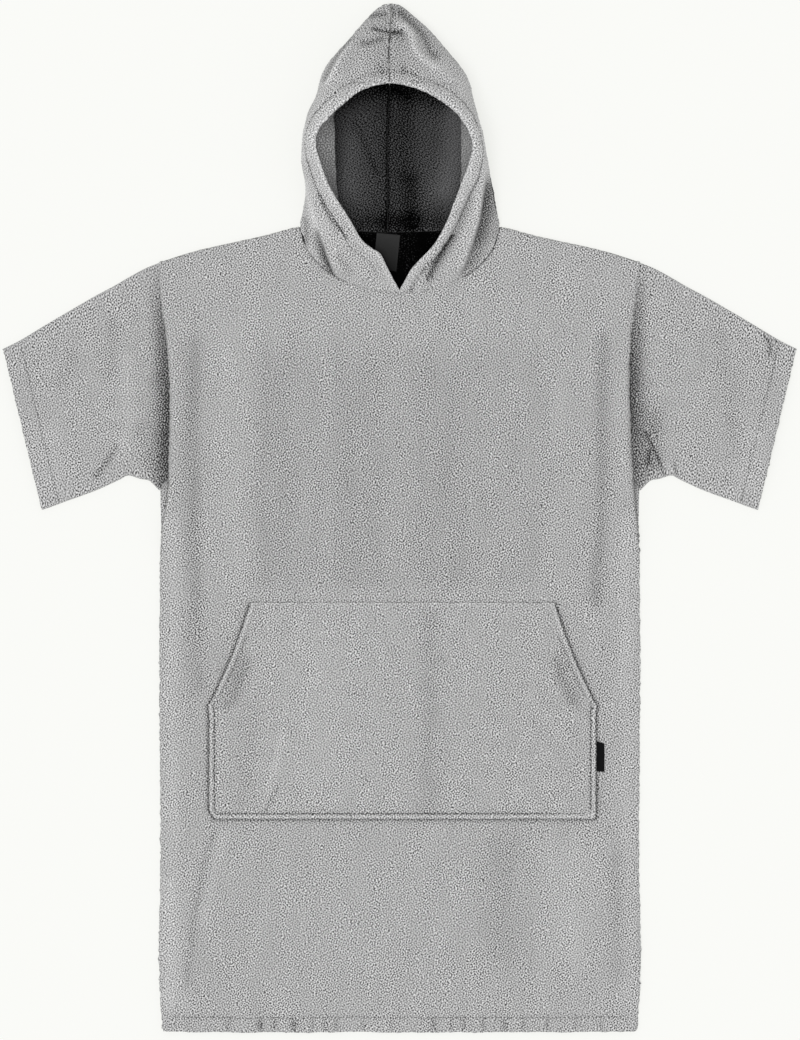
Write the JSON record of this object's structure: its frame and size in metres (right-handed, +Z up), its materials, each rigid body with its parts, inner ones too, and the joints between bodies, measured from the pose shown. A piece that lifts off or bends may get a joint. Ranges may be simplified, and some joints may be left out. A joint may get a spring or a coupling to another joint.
{
  "type": "hooded bath poncho",
  "caption": "Towelling poncho with short sleeves, a hood and a front pouch pocket, laid out flat face up with its hood opened.",
  "frame": {"origin": "on the surface that the garment lies on, under the middle of its outline", "axes": "+Y from the hem to the tip of the hood, +X across to the sleeve on the viewer's right, +Z up out of the garment's front"},
  "size_m": [1.0846, 1.4058, 0.0925],
  "materials": {
    "towelling": "light grey cotton terry, looped on both faces, matt, dark grey on the inside",
    "woven_tab": "black woven tape, slight sheen",
    "woven_label": "grey woven satin tape"
  },
  "bodies": {
    "root": {"body_front": "towelling", "body_back": "towelling", "sleeve_left": "towelling", "sleeve_right": "towelling", "hood_left": "towelling", "hood_right": "towelling", "hood_facing_left": "towelling", "hood_facing_right": "towelling", "pocket": "towelling", "pocket_tab": "woven_tab", "neck_label": "woven_label"}
  },
  "joints": []
}
